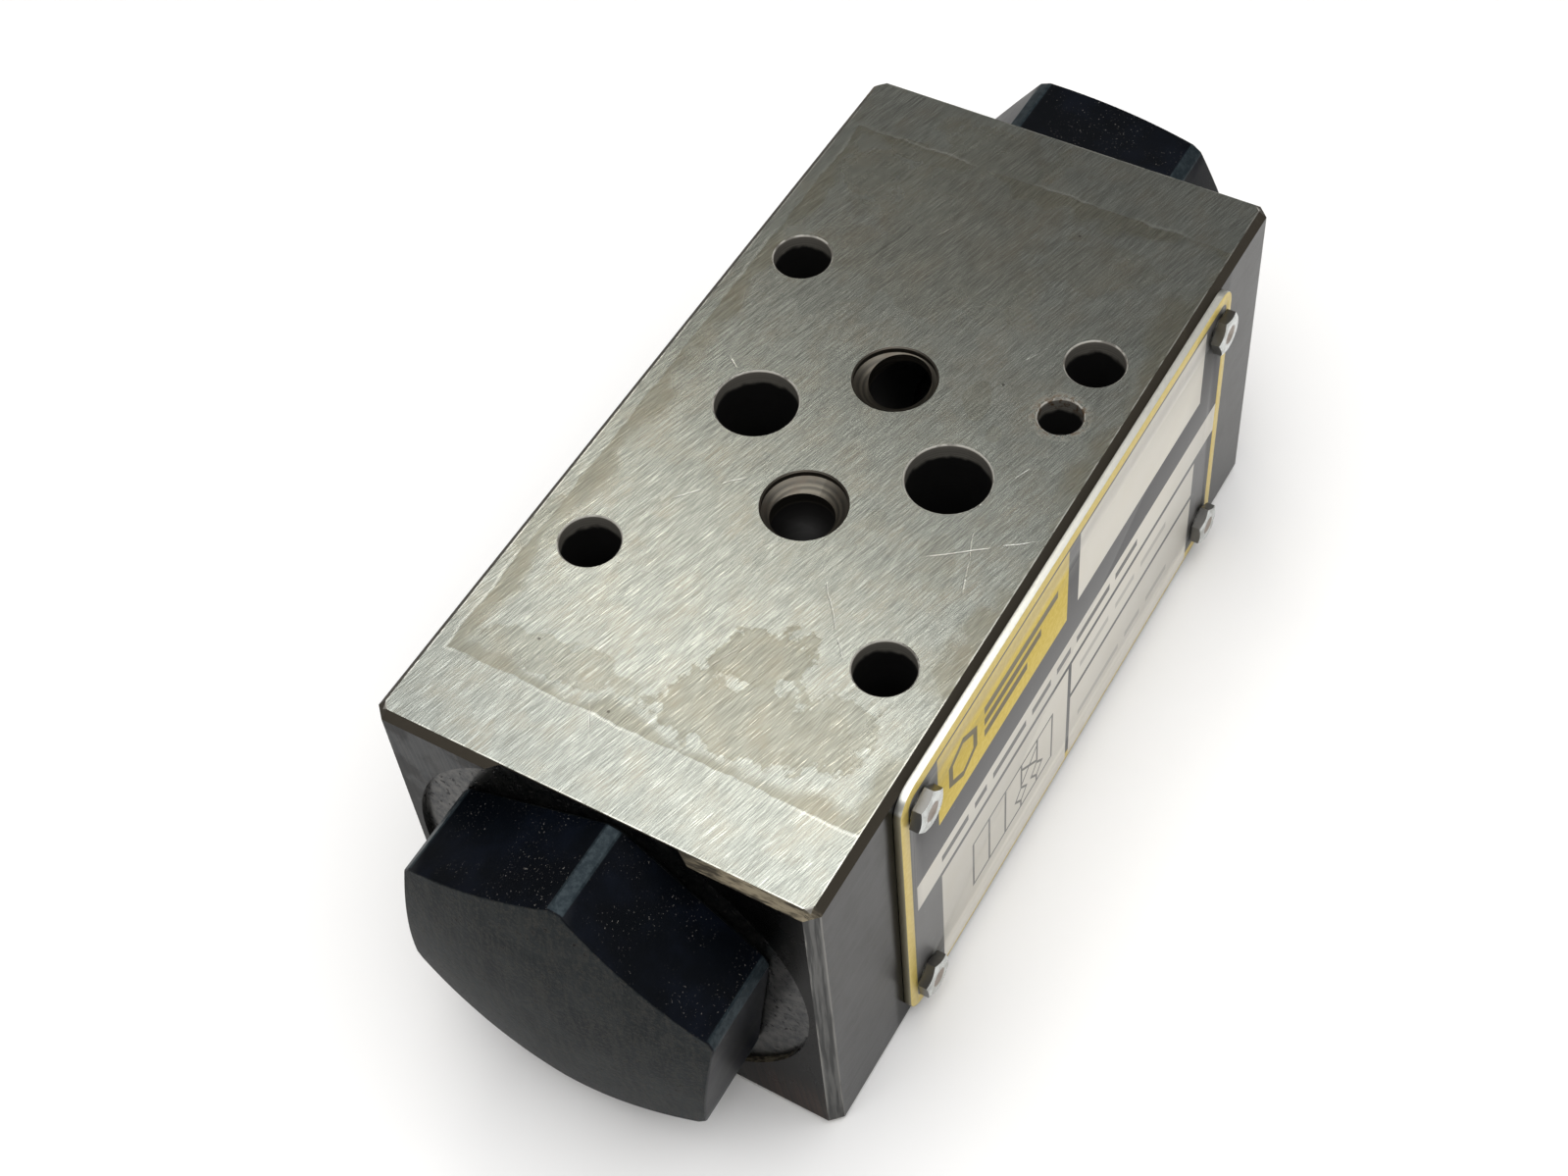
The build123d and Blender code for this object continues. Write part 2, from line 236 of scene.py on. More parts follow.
steelBlock = {
    "strokeTurn": -17.0,                 # the way the grinding runs, in degrees from +X
    "strokeLength": 3.0,
    "strokeWidth": 0.115,
    "strokeDepth": 0.014,
    "brightTone": tone(0.312, 0.332, 0.310),
    "dullTone": tone(0.160, 0.170, 0.158),
    "warmTone": tone(0.255, 0.243, 0.203),
    "glintTone": tone(0.43, 0.445, 0.42),
    "faceRoughness": 0.235,
    "footprintMiddle": (0.45, -1.0),     # the outline that a stacked valve leaves on the face
    "footprintReach": (37.95, 21.5),
    "scratchTone": tone(0.52, 0.52, 0.50),
    "scratches": [                       # start, end, strength
        ((-9.2, -12.6), (-2.8, -21.2), 0.5),
        ((-2.6, -14.0), (7.2, -17.6), 0.45),
        ((-11.5, -17.8), (-4.0, -15.2), 0.3),
        ((-8.2, 6.4), (-13.8, 11.5), 0.3),
        ((-22.5, 13.2), (-22.0, 6.8), 0.3),
        ((-22.6, -12.0), (-15.4, -6.0), 0.3),
        ((-40.0, 3.4), (-36.2, 5.9), 0.35),
        ((2.2, 13.4), (4.4, 16.2), 0.6),
        ((14.0, -8.8), (19.6, -11.8), 0.25),
        ((-30.2, -1.0), (-24.8, -3.4), 0.25),
        ((-33.6, 15.2), (-30.6, 12.1), 0.3),
        ((26.0, 6.2), (31.5, 3.6), 0.2),
    ],
    "tideTone": tone(0.46, 0.47, 0.44),
    "pitTone": tone(0.05, 0.045, 0.04),
    "rubbedHighlightTone": tone(0.50, 0.51, 0.48),
    "stainTone": tone(0.56, 0.49, 0.36),
    "stains": [                          # place, reach, turn, strength
        ((-31.6, -8.0), (4.8, 8.6), 12, 0.75),
        ((-25.6, -5.6), (3.0, 4.4), 35, 0.85),
        ((-28.6, -14.6), (3.4, 4.0), -20, 0.6),
        ((-34.6, 12.5), (2.2, 9.0), 8, 0.5),
        ((-22.0, 20.0), (4.5, 1.8), 0, 0.5),
        ((31.0, 4.5), (12.5, 10.5), 0, 0.42),
        ((22.6, 12.0), (3.8, 6.0), 25, 0.35),
        ((20.8, 2.0), (3.0, 4.2), -15, 0.35),
        ((23.6, -3.6), (5.2, 4.0), 0, 0.3),
        ((30.5, -11.0), (3.0, 6.0), 10, 0.4),
        ((37.4, 13.0), (1.5, 4.0), 0, 0.6),
        ((33.0, 16.0), (4.0, 3.2), -20, 0.5),
        ((9.6, -8.2), (2.2, 1.2), 10, 0.5),
        ((-7.4, -6.8), (1.3, 0.8), 0, 0.35),
        ((6.6, -11.6), (0.9, 0.7), 0, 0.4),
        ((-9.5, -14.0), (3.6, 1.6), 20, 0.3),
    ],
    "sideTone": tone(0.110, 0.110, 0.111),
    # painted light on the far part of the long sides
    "paintedLightFarSideTone": tone(0.140, 0.140, 0.139),
    "smudgeTone": tone(0.74, 0.72, 0.69),
    "sideStreakTone": tone(0.165, 0.165, 0.167),
    "mottleTone": tone(0.70, 0.69, 0.67),
    "speckTone": tone(0.05, 0.045, 0.045),
    # painted shade, round the nameplate and deep in the drillings
    "paintedShadeTone": tone(0.05, 0.05, 0.055),
    "endTone": tone(0.050, 0.053, 0.056),
    "endStreakTone": tone(0.100, 0.098, 0.095),
    "dirtAndShadeTone": tone(0.012, 0.011, 0.010),
    "footTone": tone(0.075, 0.045, 0.034),
    "recessTone": tone(0.070, 0.072, 0.073),
    "recessGrainTone": tone(0.135, 0.132, 0.127),
    "recessPitTone": tone(0.012, 0.012, 0.014),
    "recessRadius": 20.75,
    "chamferTone": tone(0.062, 0.054, 0.042),
    "rustTone": tone(0.25, 0.215, 0.150),
    "chamfer": 0.75,
    "boreTone": tone(0.12, 0.113, 0.100),
    "boreRingTone": tone(0.23, 0.218, 0.190),
    "boreRimHighlightTone": tone(0.42, 0.41, 0.37),
    "coneTone": tone(0.060, 0.056, 0.048),
    "coneRingTone": tone(0.130, 0.118, 0.096),
    "coneOilTone": tone(0.09, 0.075, 0.06),
    "coneRadius": 4.25,
    "coneDepth": 2.75,
    "brownTone": tone(0.085, 0.055, 0.030),
    "cornerTone": tone(0.060, 0.060, 0.059),
    "cornerStreakTone": tone(0.125, 0.124, 0.120),
    "wornHighlightTone": tone(0.26, 0.255, 0.24),
    "mirrorTone": tone(0.65, 0.65, 0.65),      # how strongly the bare steel mirrors at a low angle
}


def groundLayer(finish):
    look = steelBlock
    turn = look["strokeTurn"]
    place, x, y = finish.place, finish.x, finish.y
    size = look["strokeLength"], look["strokeWidth"]
    short = finish.noise(finish.strokes(size[0], size[1], turn), 1.0, 2.0, 0.6)
    crossing = finish.noise(finish.strokes(size[0] * 0.8, size[1] * 0.9, turn + 10), 1.0, 1.0)
    drawn = finish.noise(finish.strokes(size[0] * 5, size[1] * 2.2, turn), 1.0, 2.0)
    cloud = finish.noise(place, 9.0, 3.0, 0.55)
    grain = short * 0.5 + crossing * 0.3 + drawn * 0.2
    glint = short.fade(0.60, 0.74)
    colour = finish.blend(grain.fade(0.36, 0.64), look["dullTone"], look["brightTone"])
    warm = finish.noise(place, 5.0, 3.0, 0.6).fade(0.42, 0.68) * short.fade(0.62, 0.40)
    colour = finish.blend(warm * 0.6, colour, look["warmTone"])
    colour = finish.blend(glint * 0.6, colour, look["glintTone"])
    roughness = look["faceRoughness"] + 0.05 * cloud - 0.10 * glint
    height = (short + 0.6 * crossing + 0.3 * drawn) * look["strokeDepth"]

    # single scratches, each a thin bright line that wavers a little and fades along its way
    waver = (finish.noise(place, 3.0, 1.0) - 0.5) * 0.5
    broken = finish.noise(place, 1.8, 2.0).fade(0.40, 0.52)
    for (startX, startY), (endX, endY), strength in look["scratches"]:
        run = math.hypot(endX - startX, endY - startY)
        alongX, alongY = (endX - startX) / run, (endY - startY) / run
        u = (x - (startX + endX) / 2) * alongX + (y - (startY + endY) / 2) * alongY
        v = (y - (startY + endY) / 2) * alongX - (x - (startX + endX) / 2) * alongY + waver
        scratch = abs(v).fade(0.10, 0.03) * abs(u).fade(run / 2, run / 2 - 1.0) * broken
        colour = finish.blend(scratch * strength, colour, look["scratchTone"])
        height = height - 0.008 * scratch

    # the outline of a stacked valve: cleaner outside, a tide line along it and brown oil inside it
    outX = abs(x - look["footprintMiddle"][0]) - look["footprintReach"][0]
    outY = abs(y - look["footprintMiddle"][1]) - look["footprintReach"][1]
    wander = finish.noise(place, 2.4, 2.0) - 0.5
    outline = outX.atLeast(outY) + wander * 0.9
    fringeWidth = finish.noise(place, 7.0, 2.0).fade(0.3, 0.75) * 3.6
    fringe = outline.fade(0.0, -0.15) * (outline + fringeWidth).fade(-1.2, 1.0)
    stain = fringe * 0.5
    line = outline.near(0.12, 0.22) * finish.noise(place, 8.0, 1.0).fade(0.42, 0.6)

    coarse, fine = finish.noise(place, 3.4, 2.0), finish.noise(place, 1.1, 5.0, 0.7)
    ragged = (coarse - 0.5) * 1.6 + (fine - 0.5) * 1.1
    for spot, reach, angle, strength in look["stains"]:
        inputs = {"Vector": place, "Location": (spot[0], spot[1], bodyHigh.z)}
        inputs["Rotation"] = (0, 0, math.radians(angle))
        inputs["Scale"] = (reach[0], reach[1], reach[0])
        apart = finish.length(finish.add("Mapping", {"vector_type": "TEXTURE"}, inputs))
        apart = apart + ragged
        tide = apart.near(0.93, 0.16)
        patch = (apart.fade(1.0, 0.75) * 0.5 + tide * 0.5) * strength
        stain = stain.atLeast(patch)

    colour = finish.tint(stain, colour, look["stainTone"])
    colour = finish.blend(line * 0.4, colour, look["tideTone"])
    pits = finish.specks(4.2, 0.35, 0.045)
    colour = finish.blend(pits * 0.8, colour, look["pitTone"])
    # the sharp edges of the face are rubbed bright: wear, with a painted highlight along them
    rimX = abs(x) - (bodyHigh.x - look["chamfer"] - 0.16)
    rimY = abs(y) - (bodyHigh.y - look["chamfer"] - 0.16)
    rubbed = rimX.atLeast(rimY).fade(0.0, 0.08) * wander.fade(-0.12, 0.02)
    colour = finish.blend(rubbed * 0.7, colour, look["rubbedHighlightTone"])
    return layer(colour, roughness + stain * 0.05, 1.0, height)


def bodyFinish():
    finish = Finish("ground and oiled steel block")
    look = steelBlock
    place, x, y, z = finish.place, finish.x, finish.y, finish.z
    top = bodyHigh.z
    halfLength, halfWidth = bodyHigh.x, bodyHigh.y

    # the long sides: smooth, half glossy, a little streaked and smudged
    smudge = finish.noise(place, 11.0, 3.0, 0.6)
    fine = finish.noise(finish.strokes(7.0, 0.25, 2, "y"), 1.0, 2.0, 0.6)
    # lighter towards +X as painted light, the near part darker as painted shade
    tint = finish.blend(x.fade(-20.0, 40.0), look["sideTone"], look["paintedLightFarSideTone"])
    tint = finish.tint(smudge.fade(0.3, 0.75) * 0.5, tint, look["smudgeTone"])
    tint = finish.blend(fine.fade(0.42, 0.68) * 0.26, tint, look["sideStreakTone"])
    mottle = finish.noise(place, 1.3, 5.0, 0.7)
    tint = finish.tint(mottle.fade(0.46, 0.68) * 0.5, tint, look["mottleTone"])
    specks = finish.specks(3.0, 0.3, 0.06)
    tint = finish.blend(specks * 0.7, tint, look["speckTone"])
    # a dark band round the nameplate, strongest at its left end: painted shade and painted reflection of the
    # plate's edge
    outX = abs(x - plateMiddle.x) - (plateHigh.x - plateLow.x) / 2
    outZ = abs(z - plateMiddle.z) - (plateHigh.z - plateLow.z) / 2
    plateShade = outX.atLeast(outZ) + smudge * 1.2
    plateShade = plateShade.fade(2.3, 1.5) * y.fade(0.0, -1.0) * (0.45 + 0.55 * x.fade(-20.0, -33.0))
    tint = finish.tint(plateShade, tint, look["paintedShadeTone"])
    side = layer(tint, 0.17 + 0.14 * smudge - 0.05 * fine, 1.0, fine * 0.0018 + mottle * 0.002)

    # the ends: milled across, darker, with dirt blotches and painted shade towards -Y, browner towards the
    # foot
    milled = finish.noise(finish.strokes(14.0, 0.22, 84, "x"), 1.0, 2.0, 0.65)
    dirt = finish.noise(place, 5.0, 4.0, 0.65)
    tint = finish.blend(milled.fade(0.35, 0.65) * 0.6, look["endTone"], look["endStreakTone"])
    # painted shade: darker towards -Y, with dirt blotches
    dirtAndShade = (dirt.fade(0.40, 0.60) * 0.6).atLeast(y.fade(-10.0, -15.0) * (0.7 + 0.3 * milled))
    tint = finish.blend(dirtAndShade, tint, look["dirtAndShadeTone"])
    foot = z.fade(9.0, 2.0) * y.fade(-10.0, -17.0) * milled.fade(0.35, 0.6)
    tint = finish.blend(foot * 0.7, tint, look["footTone"])
    end = layer(tint, 0.20 + 0.14 * dirt, 1.0, milled * 0.003 + dirt * 0.003)

    # the spot faces under the plugs: coarse and pitted
    coarse = finish.noise(place, 1.0, 6.0, 0.75)
    pits = finish.noise(place, 0.75, 3.0, 0.6).fade(0.60, 0.66)
    tint = finish.blend(coarse.fade(0.40, 0.60), look["recessTone"], look["recessGrainTone"])
    tint = finish.blend(pits * 0.9, tint, look["recessPitTone"])
    recess = layer(tint, 0.22 + 0.14 * coarse, 1.0, coarse * 0.012 - pits * 0.03)

    # the edge chamfers: dark brown with paler rust in places
    crust = finish.noise(place, 0.7, 4.0, 0.7)
    scraped = finish.noise(finish.strokes(0.22, 2.6, 2), 1.0, 3.0, 0.7)
    where = finish.noise(place, 6.0, 2.0)
    nearCorner = x.fade(-halfLength + 1.6, -halfLength + 0.6) * y.fade(-9.0, -12.0)
    rust = scraped.fade(0.38, 0.62) * (where.fade(0.62, 0.8) * 0.4).atLeast(nearCorner)
    tint = finish.blend(rust, look["chamferTone"], look["rustTone"])
    chamfer = layer(tint, 0.42 + 0.25 * crust, 0.85 - 0.35 * rust, crust * 0.02)

    # the drillings: ringed by the drill, with a painted highlight round the edge and painted shade further
    # in;
    # the mouths of lines A and B are paler cones
    rings = finish.noise(finish.add("CombineXYZ", {}, {2: z}), 0.28, 2.0, 0.6)
    oil = finish.noise(place, 1.4, 3.0)
    fromFace = z.atMost(top - z)
    depth = fromFace + (oil - 0.5) * 1.2
    tint = finish.blend(rings.fade(0.3, 0.7) * 0.6, look["boreTone"], look["boreRingTone"])
    # painted shade: darker further into each drilling
    tint = finish.tint(depth.fade(1.2, 1.9), tint, look["paintedShadeTone"])
    # painted highlight: a bright line round the edge of each drilling
    edge = fromFace.fade(0.16, 0.06) * oil.fade(0.38, 0.5)
    tint = finish.blend(edge, tint, look["boreRimHighlightTone"])
    bore = layer(tint, 0.45 + 0.2 * oil, 0.2, rings * 0.01)
    mouths = []
    for port in ("port_a_ported_face", "port_b_ported_face"):
        portX, portY = mountPlace(port)[:2]
        inside = finish.radius(x - portX, y - portY)
        inside = inside.fade(look["coneRadius"] + 0.05, look["coneRadius"] - 0.05)
        mouths.append(inside * z.fade(top - look["coneDepth"] - 0.15, top - look["coneDepth"] + 0.15))
    tint = finish.blend(rings.fade(0.35, 0.65), look["coneTone"], look["coneRingTone"])
    tint = finish.blend(oil.fade(0.5, 0.7) * 0.6, tint, look["coneOilTone"])
    bore = cover(finish, bore, layer(tint, 0.34 + 0.1 * oil, 0.95, rings * 0.018), union(mouths))
    # the locating hole is rusty
    holeX, holeY = mountPlace("locating_hole")[:2]
    apart = finish.radius(x - holeX, y - holeY) + (oil - 0.5) * 0.8
    brown = layer(look["brownTone"], 0.6, 0.4, crust * 0.03)
    bore = cover(finish, bore, brown, apart.fade(2.7, 2.3) * crust.fade(0.5, 0.6) * depth.fade(1.8, 0.8))

    ground = groundLayer(finish)
    ground = cover(finish, ground, brown, apart.fade(3.2, 2.5) * crust.fade(0.42, 0.6) * 0.8)

    # the upright corners: streaked along their length, with a brighter line at each edge that is wear and a
    # painted highlight
    drawn = finish.noise(finish.strokes(0.3, 9.0, 0, "y"), 1.0, 3.0, 0.65)
    tint = finish.blend(drawn.fade(0.38, 0.62), look["cornerTone"], look["cornerStreakTone"])
    slant = abs(x) - halfLength - (abs(y) - halfWidth)
    worn = (abs(slant).fade(0.80, 1.05) * drawn.fade(0.35, 0.5)).atMost(1.0)
    tint = finish.blend(worn * 0.7, tint, look["wornHighlightTone"])
    corner = layer(tint, 0.26 + 0.1 * dirt, 1.0, drawn * 0.004)

    # where each of them is
    sideX, sideY = abs(x), abs(y)
    edgeX, edgeY = halfLength - look["chamfer"], halfWidth - look["chamfer"]
    insideX = sideX.fade(edgeX - 0.03, edgeX - 0.06)
    insideY = sideY.fade(edgeY - 0.03, edgeY - 0.06)
    sloping = abs(finish.facingZ).fade(0.4, 0.55) * abs(finish.facingZ).fade(0.92, 0.85)
    flat = abs(finish.facingZ).fade(0.97, 0.99)
    onFace = flat * abs(z - top / 2).fade(top / 2 - 0.02, top / 2 - 0.01)
    acrossBore = finish.radius(y, z - boreHeight)
    inRecess = sideX.near(endPlugs["spotFloor"], 0.05).fade(0.0, 0.2)
    inRecess = inRecess * acrossBore.fade(look["recessRadius"] + 0.05, look["recessRadius"] - 0.02)
    turnedEnd = abs(finish.facingX).fade(0.80, 0.9)
    result = cover(finish, side, end, turnedEnd)
    onCorner = abs(finish.facingX).fade(0.45, 0.6) * abs(finish.facingY).fade(0.45, 0.6)
    result = cover(finish, result, corner, onCorner * sideX.fade(halfLength - 1.3, halfLength - 1.2))
    result = cover(finish, result, recess, inRecess * turnedEnd)
    result = cover(finish, result, chamfer, sloping)
    result = cover(finish, result, bore, insideX * insideY)
    result = cover(finish, result, ground, onFace)
    return finish.surface(result, **{"Specular Tint": look["mirrorTone"]})


# the end plugs

endPlugs = {
    "cornerTurn": {"a": 8.9, "b": -22.9},      # how far the top corner leans towards the nameplate
    "acrossFlats": 31.75,
    "cornerDiameter": 36.0,
    "headHeight": 9.57,
    "crownRadius": 63.4,
    "edgeRound": 0.28,
    "underBevel": 0.3,
    "spotFloor": 45.62,
    "neckDiameter": 23.8,
    "neckLength": 2.9,
    "threadDiameter": 26.6,
    "threadPitch": 2.117,
    "threadDepth": 1.1,
    "reach": 15.6,
    "pocketDiameter": 7.2,
    "pocketDepth": 7.0,
    "flatTone": tone(0.0006, 0.0013, 0.0026),
    "flatCloudTone": tone(0.0016, 0.0030, 0.0068),
    "lintTone": tone(0.16, 0.150, 0.140),
    "stripTone": tone(0.014, 0.021, 0.026),
    "stripGrainTone": tone(0.028, 0.038, 0.044),
    "crownTone": tone(0.0040, 0.0065, 0.0080),
    "crownCloudTone": tone(0.0130, 0.0165, 0.0180),
    "crownStreakTone": tone(0.024, 0.025, 0.023),
    "crownGrainTone": tone(0.040, 0.038, 0.033),
    "poreTone": tone(0.002, 0.002, 0.003),
    "threadTone": tone(0.012, 0.013, 0.014),
    "specularLevel": 0.09,
}


def hexagonRadius(angle, cornerAngle, acrossFlats):
    off = (angle - cornerAngle + math.pi / 6) % (math.pi / 3) - math.pi / 6
    return acrossFlats / 2 / math.cos(math.pi / 6 - abs(off))


def hexagonAngles(cornerAngle, halfStrip, stripSteps, flatSteps):
    # angles round a hexagon with turned corners: a short strip at each corner, then a flat
    angles = []
    for corner in range(6):
        middle = cornerAngle + corner * math.pi / 3
        for step in range(stripSteps):
            angles.append(middle - halfStrip + 2 * halfStrip * step / stripSteps)
        flat = math.pi / 3 - 2 * halfStrip
        for step in range(flatSteps):
            angles.append(middle + halfStrip + flat * step / flatSteps)
    return angles


def ring(radius, height):
    # a level that is a plain circle
    return lambda angle: (radius, height)


def latheMesh(angles, levels):
    # a closed piece round +Z: a level gives radius and height at an angle,
    # and both ends close in a point
    bm = bmesh.new()
    loop = bmesh.ops.create_circle(bm, cap_ends=False, radius=1.0, segments=len(angles))["verts"]
    for vert, angle in zip(loop, angles):
        radius, height = levels[0](angle)
        vert.co = (radius * math.cos(angle), radius * math.sin(angle), height)
    firstLoop = list(loop)
    edges = list(bm.edges)
    for level in levels[1:]:
        grown = bmesh.ops.extrude_edge_only(bm, edges=edges)["geom"]
        loop = [item for item in grown if isinstance(item, bmesh.types.BMVert)]
        for vert in loop:
            angle = math.atan2(vert.co.y, vert.co.x)
            radius, height = level(angle)
            vert.co = (radius * math.cos(angle), radius * math.sin(angle), height)
        fresh = set(loop)
        edges = [edge for vert in loop for edge in vert.link_edges]
        edges = list({edge for edge in edges if edge.verts[0] in fresh and edge.verts[1] in fresh})
    for end in (firstLoop, loop):
        height = sum(vert.co.z for vert in end) / len(end)
        bmesh.ops.pointmerge(bm, verts=end, merge_co=Vector((0, 0, height)))
    bmesh.ops.recalc_face_normals(bm, faces=bm.faces)
    return bm


def asPiece(name, bm, place, material, sharpAngle=28.0):
    # the finished object: at the origin, in metres, with its place in its mesh
    bmesh.ops.transform(bm, matrix=Matrix.Scale(mm, 4) @ place, verts=bm.verts)
    mesh = bpy.data.meshes.new(name)
    bm.to_mesh(mesh)
    bm.free()
    mesh.shade_smooth()
    mesh.set_sharp_from_angle(angle=math.radians(sharpAngle))
    mesh.materials.append(material)
    piece = bpy.data.objects.new(name, mesh)
    scene.collection.objects.link(piece)
    return piece


def endPlug(name, side, material):
    shape = endPlugs
    turn = math.radians(shape["cornerTurn"][name])
    cornerAngle = math.pi + turn if side > 0 else -turn
    corner = shape["cornerDiameter"] / 2
    halfFlat = shape["acrossFlats"] / 2
    halfStrip = math.pi / 6 - math.acos(halfFlat / corner)
    ball = shape["crownRadius"]
    apex = shape["headHeight"] + ball - math.sqrt(ball**2 - corner**2)
    rounding = shape["edgeRound"]

    def outline(angle):
        return min(corner, hexagonRadius(angle, cornerAngle, shape["acrossFlats"]))

    def crown(radius):
        return apex - ball + math.sqrt(ball**2 - radius**2)

    def crownLevel(share):
        def level(angle):
            radius = (outline(angle) - rounding) * share
            return radius, crown(radius)
        return level

    def edgeLevel(quarter):
        # round the crown's edge, a quarter turn from flat to upright
        def level(angle):
            start = outline(angle) - rounding
            drop = crown(start) - crown(outline(angle)) + rounding
            across = rounding * math.sin(quarter)
            return start + across, crown(start) - drop * (1 - math.cos(quarter))
        return level

    def wall(inset, height):
        return lambda angle: (outline(angle) - inset, height)

    crest = shape["threadDiameter"] / 2
    threadStart, threadEnd = -shape["neckLength"] - 0.4, -shape["reach"] + 1.1

    def threadLevel(height):
        # a real helix: how deep the flank is depends on the height and on the angle
        def level(angle):
            phase = (height / shape["threadPitch"] + side * angle / (2 * math.pi)) % 1
            flank = min(1.0, max(0.0, 1.25 * (1 - abs(2 * phase - 1)) - 0.125))
            ends = min(threadStart - height, height - threadEnd) / shape["threadPitch"]
            return crest - shape["threadDepth"] * flank * min(1.0, max(0.0, 2 * ends)), height
        return level

    levels = [crownLevel(share / 14) for share in range(1, 15)]
    levels += [edgeLevel(math.radians(angle)) for angle in (22, 45, 68, 90)]
    bevel = shape["underBevel"]
    levels += [wall(0, 6.0), wall(0, 3.0), wall(0, bevel), wall(bevel, 0.0)]
    neck = shape["neckDiameter"] / 2
    levels += [ring(neck + 0.3, 0.0), ring(neck, -0.3)]
    levels += [ring(neck, -shape["neckLength"] + 0.2), ring(neck + 0.2, -shape["neckLength"])]
    levels += [ring(crest - 0.3, -shape["neckLength"]), ring(crest, -shape["neckLength"] - 0.3)]
    steps = round((threadStart - threadEnd) / shape["threadPitch"] * 8)
    pace = (threadEnd - threadStart) / steps
    levels += [threadLevel(threadStart + pace * step) for step in range(steps + 1)]
    pocket = shape["pocketDiameter"] / 2
    floor = -shape["reach"] + shape["pocketDepth"]
    levels += [ring(crest - shape["threadDepth"], -shape["reach"]), ring(pocket + 0.2, -shape["reach"])]
    levels += [ring(pocket, -shape["reach"] + 0.2), ring(pocket, floor), ring(0.4, floor)]
    bm = latheMesh(hexagonAngles(cornerAngle, halfStrip, 4, 14), levels)
    place = Matrix.Translation((side * shape["spotFloor"], 0, boreHeight))
    place = place @ Matrix.Rotation(math.radians(90 * side), 4, "Y")
    piece = asPiece(f"end_plug_{name}_finished", bm, place, material)
    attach(piece, "valve_body")
    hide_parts(f"end_plug_{name}")
    return piece


def plugFinish():
    finish = Finish("black oxide on turned steel")
    look = endPlugs
    place, x, y, z = finish.place, finish.x, finish.y, finish.z
    cloud = finish.noise(place, 6.0, 4.0, 0.6)
    grit = finish.noise(place, 0.55, 4.0, 0.7)
    acrossBore = finish.radius(y, z - boreHeight)

    # milled flats, nearly black, with lint on them
    tint = finish.blend(cloud.fade(0.4, 0.7), look["flatTone"], look["flatCloudTone"])
    patchy = finish.noise(place, 5.0, 2.0).fade(0.42, 0.62)
    lint = finish.noise(place, 0.22, 3.0, 0.62).fade(0.645, 0.70) * patchy
    tint = finish.blend(lint * 0.8, tint, look["lintTone"])
    flats = layer(tint, 0.30 + 0.18 * cloud + 0.2 * lint, 0.0, grit * 0.012 + lint * 0.02)

    # the turned corners are a lighter slate
    tint = finish.blend(grit.fade(0.4, 0.65), look["stripTone"], look["stripGrainTone"])
    strip = layer(tint, 0.38 + 0.1 * cloud, 0.35, grit * 0.010)

    # the crown: matt, mottled grey, with dark pores and rubbed patches
    pores = finish.noise(place, 0.55, 3.0, 0.6).fade(0.63, 0.69)
    tint = finish.blend(cloud.fade(0.35, 0.7), look["crownTone"], look["crownCloudTone"])
    drawn = finish.noise(finish.strokes(5.0, 0.5, 90, "x"), 1.0, 4.0, 0.7)
    tint = finish.blend(drawn.fade(0.42, 0.66) * 0.6, tint, look["crownStreakTone"])
    tint = finish.blend(grit.fade(0.47, 0.66) * 0.7, tint, look["crownGrainTone"])
    tint = finish.blend(pores * 0.85, tint, look["poreTone"])
    crown = layer(tint, 0.50 + 0.15 * grit, 0.0, grit * 0.07 - pores * 0.07)

    worn = finish.noise(place, 1.2, 3.0)
    onCrown = (abs(finish.facingX) + (worn - 0.5) * 0.25).fade(0.62, 0.80)
    corner = look["cornerDiameter"] / 2
    onStrip = acrossBore.fade(corner - 0.14, corner - 0.07) * abs(finish.facingX).fade(0.4, 0.2)
    result = cover(finish, flats, strip, onStrip)
    result = cover(finish, result, crown, onCrown)
    thread = layer(look["threadTone"], 0.4, 0.5, grit * 0.01)
    onShank = abs(x).fade(look["spotFloor"] + 0.05, look["spotFloor"] - 0.05)
    result = cover(finish, result, thread, onShank)
    return finish.surface(result, **{"Specular IOR Level": look["specularLevel"]})


# the nameplate

